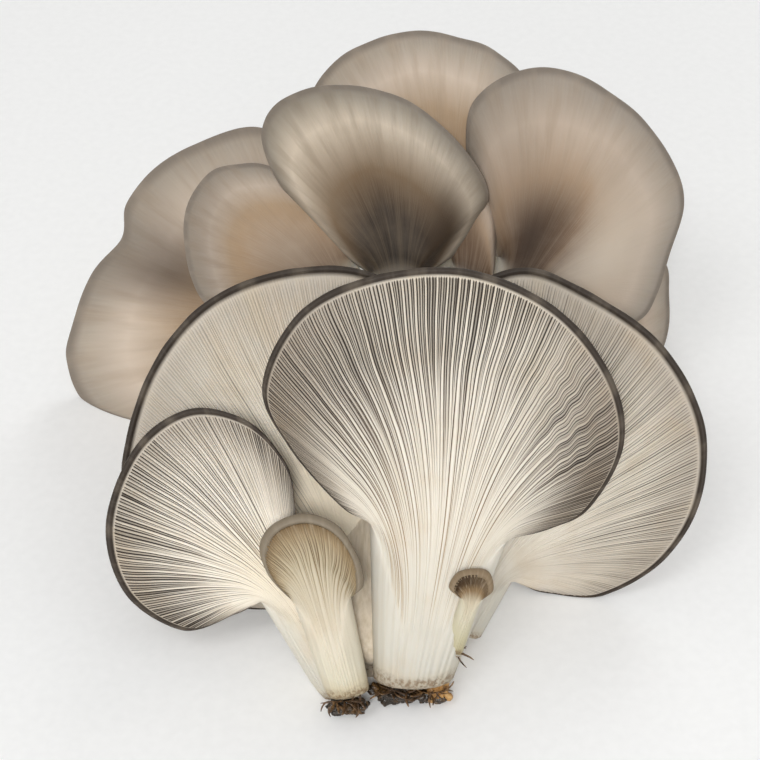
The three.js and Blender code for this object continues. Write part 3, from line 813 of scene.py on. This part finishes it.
LUMPS = {
    "fused_base": dict(
        slot="stem_base", position=(-1, 50, 5), radii=(23, 44, 24), knobs=3, relief=0.1,
        fine=0.25, wavelength=7, bulge=1.7),
    "wet_bark": dict(
        slot="wet_bark", position=(-1, 3, 3.4), radii=(6, 4, 4.4), knobs=4, relief=0.22,
        fine=0.3, wavelength=3.2),
    "bark_flake": dict(
        slot="wet_bark", position=(7, 4.5, 5.5), radii=(5, 2.4, 1.8), knobs=3, relief=0.2,
        fine=0.25, wavelength=2.6),
    "spawn_grain": dict(
        slot="spawn_grain", position=(11, 3, 3.2), radii=(3.6, 3.2, 4), knobs=5, relief=0.2,
        fine=0.2, wavelength=2.4),
    "young_crumb": dict(
        slot="wet_bark", position=(-16, -2, 2), radii=(5, 2.5, 2.4), knobs=5, relief=0.25,
        fine=0.28, wavelength=2.6),
}
BALL_DETAIL, CRUMB_DETAIL = 6, 3      # times that a ball's faces are divided


def lump_mesh(name, kind, seed):
    """The CAD part's knobbly ball, finer and with a rough skin."""
    ball = bmesh.new()
    bmesh.ops.create_icosphere(ball, subdivisions=BALL_DETAIL, radius=1)
    mesh = bpy.data.meshes.new(name)
    ball.to_mesh(mesh)
    ball.free()
    count = len(mesh.vertices)
    points = np.empty(count * 3)
    mesh.vertices.foreach_get("co", points)
    points = points.reshape(-1, 3)
    x, y, z = points.T
    k = kind["knobs"]
    waves = np.sin(k * x + 1) * np.sin(k * y + 2) + 0.6 * np.sin(2 * k * z + k * x)
    surface = points * (1 + kind["relief"] * waves)[:, None] * np.array(kind["radii"], float)
    rough = kind["fine"] * (ripple(surface, kind["wavelength"], seed)
                            + 0.5 * ripple(surface, kind["wavelength"] * 0.45, seed + 1))
    bulges = kind.get("bulge", 0) * ripple(surface * np.array([1, 0.35, 1]), 20, seed + 2)
    surface = surface + points * (rough + bulges)[:, None]
    world = rest_on_floor(surface + np.array(kind["position"], float) + SHIFT)
    mesh.vertices.foreach_set("co", (world * MM).astype(np.float32).ravel())
    mesh.polygons.foreach_set("use_smooth", np.ones(len(mesh.polygons), bool))
    mesh.update()
    return mesh


for seed, (node, kind) in enumerate(LUMPS.items(), start=71):
    mesh = lump_mesh(node + "_mesh", kind, seed)
    add_piece(node + "_lump", mesh, node, MATERIALS[kind["slot"]])

# ---------------------------------------------------------------------------------------------
# Crumbs and fibres of the block, round the feet
# ---------------------------------------------------------------------------------------------
FIBRE_SIDES, FIBRE_STEPS = 8, 14
FIBRE_RADII, SHORTEST_FIBRE = (0.22, 0.5), 2.5


def crumb(centre, radii, rng):
    """Points and faces of one small broken lump."""
    ball = bmesh.new()
    bmesh.ops.create_icosphere(ball, subdivisions=CRUMB_DETAIL, radius=1)
    points = np.array([v.co[:] for v in ball.verts])
    faces = [[v.index for v in face.verts] for face in ball.faces]
    ball.free()
    points = points * (1 + 0.22 * ripple(points, 1.7, int(rng.integers(1e6))))[:, None]
    points = points @ rotation_matrix(*rng.uniform(0, 360, 3)).T
    return points * np.array(radii) + np.array(centre), faces


def fibre(start, heading, length, radius, rng):
    """Points and faces of one bent fibre, thin at both ends."""
    bend = rng.normal(size=3) * 0.5
    path = [np.array(start, float)]
    heading = np.array(heading, float) / np.linalg.norm(heading)
    for _ in range(FIBRE_STEPS):
        heading = heading + bend / FIBRE_STEPS * 2
        heading = heading / np.linalg.norm(heading)
        path.append(path[-1] + heading * length / FIBRE_STEPS)
    path = np.array(path)
    tangent = np.gradient(path, axis=0)
    side = np.cross(tangent, [0.3, 0.2, 1.0])
    side /= np.linalg.norm(side, axis=1, keepdims=True)
    other = np.cross(tangent, side)
    other /= np.linalg.norm(other, axis=1, keepdims=True)
    thick = radius * np.sqrt(np.sin(np.linspace(0.08, math.pi - 0.08, len(path))))
    angle = np.arange(FIBRE_SIDES) / FIBRE_SIDES * 2 * math.pi
    ring = np.cos(angle)[None, :, None] * side[:, None] + 0.6 * np.sin(angle)[None, :, None] * other[:, None]
    points = (path[:, None] + thick[:, None, None] * ring).reshape(-1, 3)
    faces = []
    for i in range(len(path) - 1):
        for j in range(FIBRE_SIDES):
            a, b = i * FIBRE_SIDES + j, i * FIBRE_SIDES + (j + 1) % FIBRE_SIDES
            faces.append([a, b, b + FIBRE_SIDES, a + FIBRE_SIDES])
    faces.append(list(range(FIBRE_SIDES))[::-1])
    faces.append(list(range(len(points) - FIBRE_SIDES, len(points))))
    return points, faces


def joined_mesh(name, parts):
    """One mesh of many small parts, each given as points and faces."""
    points, faces, first = [], [], 0
    for part_points, part_faces in parts:
        points.append(part_points)
        faces += [[first + i for i in face] for face in part_faces]
        first += len(part_points)
    world = rest_on_floor(np.vstack(points) + SHIFT)
    mesh = bpy.data.meshes.new(name)
    mesh.from_pydata((world * MM).tolist(), [], faces)
    mesh.polygons.foreach_set("use_smooth", np.ones(len(mesh.polygons), bool))
    mesh.update()
    return mesh


def foot_of(node):
    kind = MUSHROOMS[node]
    return placed(kind, np.array([kind["foot"]], float))[0]


def debris():
    """(dark parts, amber parts, fibres) left where the stems were cut from the block."""
    rng = np.random.default_rng(5)
    main, young, pin = (foot_of(node) for node in ("main_fan", "young_fan", "pin_mushroom"))
    dark, amber, fibres = [], [], []
    for _ in range(16):                                # along the lower edge of the main stem's cut
        x = rng.uniform(-10, 8)
        size = rng.uniform(0.8, 2.0)
        at = main + np.array([x, rng.uniform(-4.6, -2.6), rng.uniform(-6.4, -2.6)])
        dark.append(crumb(at, (size * rng.uniform(0.9, 1.6), size, size * 0.8), rng))
    for _ in range(8):                                 # in the hollow between the two stems
        at = mix(main + [-11, -2, -4], young + [4, 2, -2], rng.uniform(0, 0.5)) + rng.normal(size=3) * 0.6
        dark.append(crumb(at, rng.uniform(0.7, 1.6, 3), rng))
    for _ in range(9):                                 # under the young stem
        at = young + np.array([rng.uniform(-5, 6), rng.uniform(-5, -3), rng.uniform(-3.4, -1.6)])
        dark.append(crumb(at, rng.uniform(0.5, 1.2, 3), rng))
    for _ in range(10):                                # grains beside the main stem's right edge
        at = main + np.array([rng.uniform(5, 11), rng.uniform(-4.4, -2.0), rng.uniform(-5.4, 0.5)])
        amber.append(crumb(at, rng.uniform(0.7, 1.5, 3), rng))
    tufts = [                                          # centre, spread, number, greatest length
        (pin + [0.2, -0.6, 0.4], 1.4, 14, 6.5), (young + [0.5, -4.2, 0.2], 4.6, 20, 6.0),
        (main + [0, -4.6, -1.4], 9.0, 26, 6.5)]
    for centre, spread, count, longest in tufts:
        for _ in range(count):
            start = centre + rng.uniform(-1, 1, 3) * np.array([spread, 0.3, 0.4])
            heading = rng.normal(size=3) * np.array([1.0, 0.35, 0.35]) + [0.1, -0.35, -0.1]
            length, radius = rng.uniform(SHORTEST_FIBRE, longest), rng.uniform(*FIBRE_RADII)
            fibres.append(fibre(start, heading, length, radius, rng))
    return dark, amber, fibres


dark_parts, amber_parts, fibre_parts = debris()
add_piece("husk_fibres", joined_mesh("husk_fibres_mesh", fibre_parts), None,
          lump_material("husk_fibre", colour(42, 29, 18), colour(86, 61, 36), colour(164, 126, 78), 0.3))
add_piece("bark_crumbs", joined_mesh("bark_crumbs_mesh", dark_parts), None, MATERIALS["wet_bark"])
add_piece("grain_crumbs", joined_mesh("grain_crumbs_mesh", amber_parts), None,
          MATERIALS["spawn_grain"])

# ---------------------------------------------------------------------------------------------
# Floor, light and camera
# ---------------------------------------------------------------------------------------------
FLOOR_HALF = 10.0
FLOOR_BELOW = 0.00005     # keeps the floor just clear of what rests on it
LIGHT_TARGET = (0, 0, 0.03)
LIGHTS = [                # name, place, diameter, watts
    ("key", (-0.95, -1.2, 2.3), 1.2, 12),
    ("front", (-0.12, -1.6, 1.42), 0.5, 17.5),
    ("low", (-0.55, -2.1, 0.8), 1.0, 4),
    ("back", (0.8, 1.9, 1.3), 1.2, 12),
]
WORLD_STRENGTH = 0.47


def make_floor():
    mesh = bpy.data.meshes.new("floor_mesh")
    h = FLOOR_HALF
    corners = [(-h, -h, -FLOOR_BELOW), (h, -h, -FLOOR_BELOW), (h, h, -FLOOR_BELOW), (-h, h, -FLOOR_BELOW)]
    mesh.from_pydata(corners, [], [(0, 1, 2, 3)])
    floor = bpy.data.objects.new("floor", mesh)
    bpy.context.scene.collection.objects.link(floor)
    g = Graph("pale_floor")
    paper = g.noise(g.place(), 300.0, 2.0)
    base = g.ramp(paper, [(0.3, colour(246, 246, 245)), (0.7, colour(249, 249, 248))])
    floor.data.materials.append(g.finish(base, 0.7, g.bump(paper, 0.0001, 0.1), specular=0.2))


def make_light(name, place, size, watts):
    data = bpy.data.lights.new(name, "AREA")
    data.shape = "DISK"
    data.size = size
    data.energy = watts
    light = bpy.data.objects.new(name, data)
    light.location = place
    aim = np.array(LIGHT_TARGET) - np.array(place)
    light.rotation_euler = Vector(aim).to_track_quat("-Z", "Y").to_euler()
    bpy.context.scene.collection.objects.link(light)


def make_world():
    world = bpy.data.worlds.new("soft_studio")
    world.use_nodes = True
    background = world.node_tree.nodes["Background"]
    background.inputs["Color"].default_value = (1, 1, 1, 1)
    background.inputs["Strength"].default_value = WORLD_STRENGTH
    bpy.context.scene.world = world


CAMERA_ELEVATION = math.radians(42)
CAMERA_DISTANCE = 540
CAMERA_TARGET = (-6.0, 65.2, 72.5)     # in the drawing's own origin, before the shift
LENS, SENSOR = 85.3, 36


def make_camera():
    data = bpy.data.cameras.new("camera")
    data.lens = LENS
    data.sensor_width = SENSOR
    camera = bpy.data.objects.new("camera", data)
    back = np.array([0, -math.cos(CAMERA_ELEVATION), math.sin(CAMERA_ELEVATION)])
    camera.location = (np.array(CAMERA_TARGET) + SHIFT + CAMERA_DISTANCE * back) * MM
    camera.rotation_euler = (math.pi / 2 - CAMERA_ELEVATION, 0, 0)
    bpy.context.scene.collection.objects.link(camera)
    bpy.context.scene.camera = camera


make_floor()
make_world()
for light in LIGHTS:
    make_light(*light)
make_camera()
bpy.context.scene.view_settings.view_transform = "Standard"
